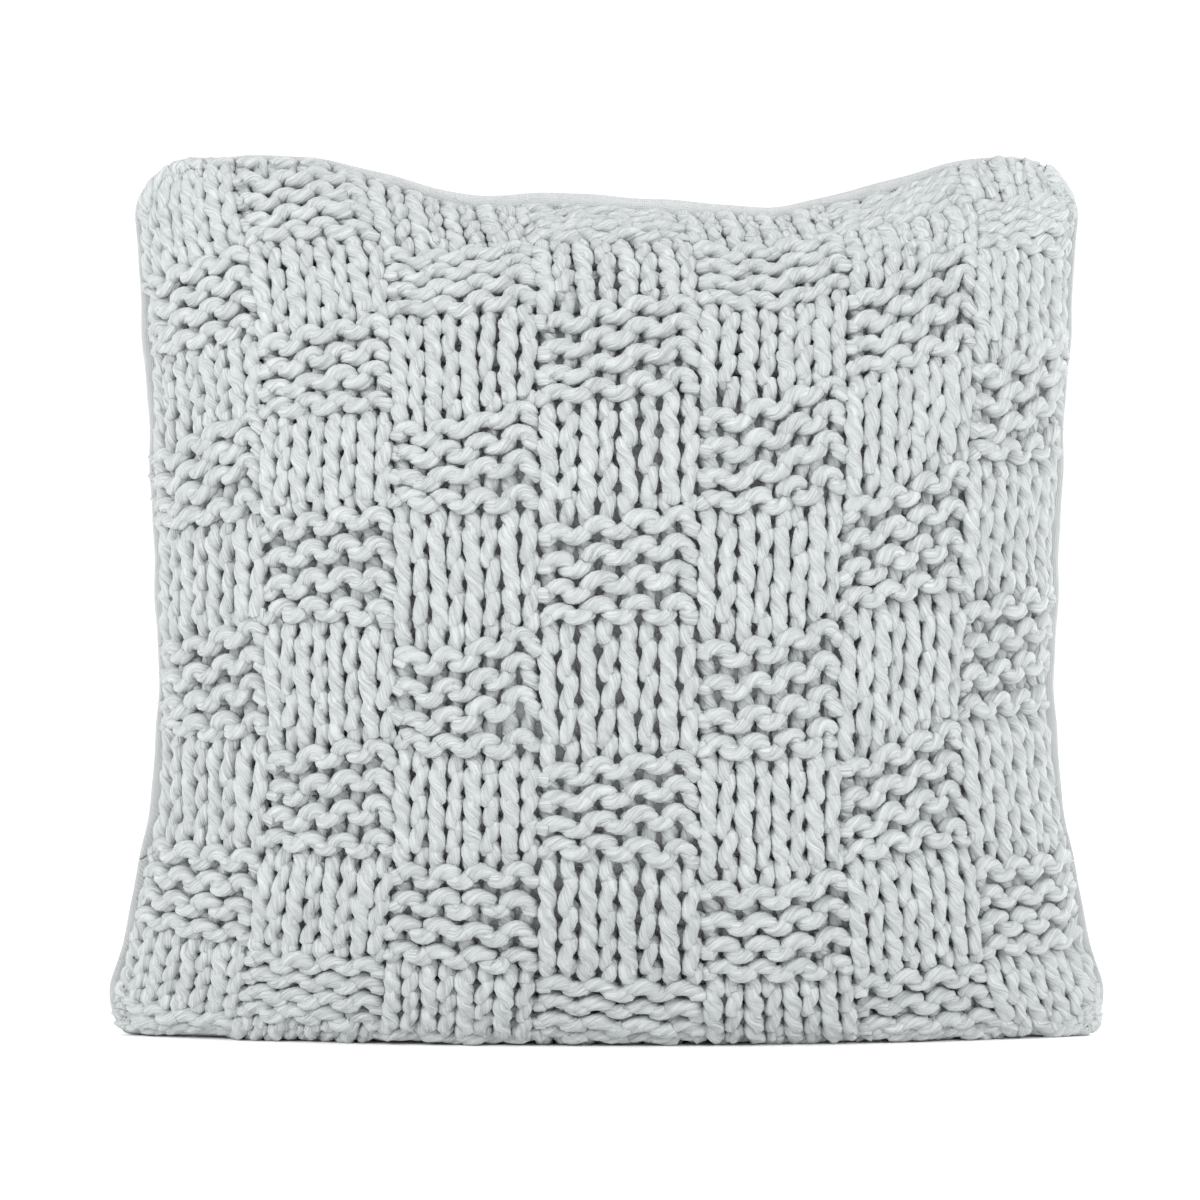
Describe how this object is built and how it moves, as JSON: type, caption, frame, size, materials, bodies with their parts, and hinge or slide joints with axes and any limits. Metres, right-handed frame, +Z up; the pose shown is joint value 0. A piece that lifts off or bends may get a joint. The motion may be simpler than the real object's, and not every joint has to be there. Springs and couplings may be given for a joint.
{
  "type": "throw pillow",
  "caption": "Square throw pillow with a chunky basketweave knit front and a plain woven back that opens along a coil zipper over a filled insert.",
  "frame": {"origin": "middle of the pillow's width and depth, on the floor that it stands on", "axes": "+X to the right across the width as seen from the front, +Y from the knit front to the woven back, +Z up; the knit front faces -Y"},
  "size_m": [0.4564, 0.1542, 0.402],
  "materials": {
    "knit_yarn": "matt, softly hairy, loosely plied",
    "lining": "matt plain weave",
    "woven_back": "matt plain weave",
    "seam_allowance": "matt, overlocked",
    "zipper_tape": "matt, close woven",
    "zipper_coil": "satin nylon",
    "zipper_metal": "satin",
    "sewing_thread": "polyester thread",
    "label_satin": "satin weave",
    "insert_shell": "matt, thin",
    "fiberfill": "loose white fibre"
  },
  "bodies": {
    "pillow": {"front_knit_panel": "knit_yarn", "front_lining": "lining", "back_upper_panel": "woven_back", "back_lower_panel": "woven_back", "seam_allowance_top": "seam_allowance", "seam_allowance_bottom": "seam_allowance", "seam_allowance_left": "seam_allowance", "seam_allowance_right": "seam_allowance", "zipper_tape_upper": "zipper_tape", "zipper_tape_lower": "zipper_tape", "zipper_coil_upper": "zipper_coil", "zipper_coil_lower": "zipper_coil", "zipper_top_stops": "zipper_metal", "zipper_bottom_stop": "zipper_metal", "zipper_end_tab_left": "woven_back", "zipper_end_tab_right": "woven_back", "zipper_stitching_upper": "sewing_thread", "zipper_stitching_lower": "sewing_thread", "care_label": "label_satin", "insert_front": "insert_shell", "insert_back": "insert_shell", "insert_seam": "insert_shell", "fiberfill": "fiberfill"},
    "slider": {"zipper_slider": "zipper_metal"},
    "pull": {"zipper_pull": "zipper_metal"}
  },
  "joints": [
    {"name": "slider_travel", "type": "hinge", "parent": "pillow", "child": "slider", "pos_m": [0, -0.488, 0.08], "axis": [0, 0, 1], "range_deg": [0, 30.1]},
    {"name": "pull_swing", "type": "hinge", "parent": "slider", "child": "pull", "pos_m": [0.14702, 0.05619, 0.08], "axis": [0, 0, -1], "range_deg": [-3, 165]}
  ]
}
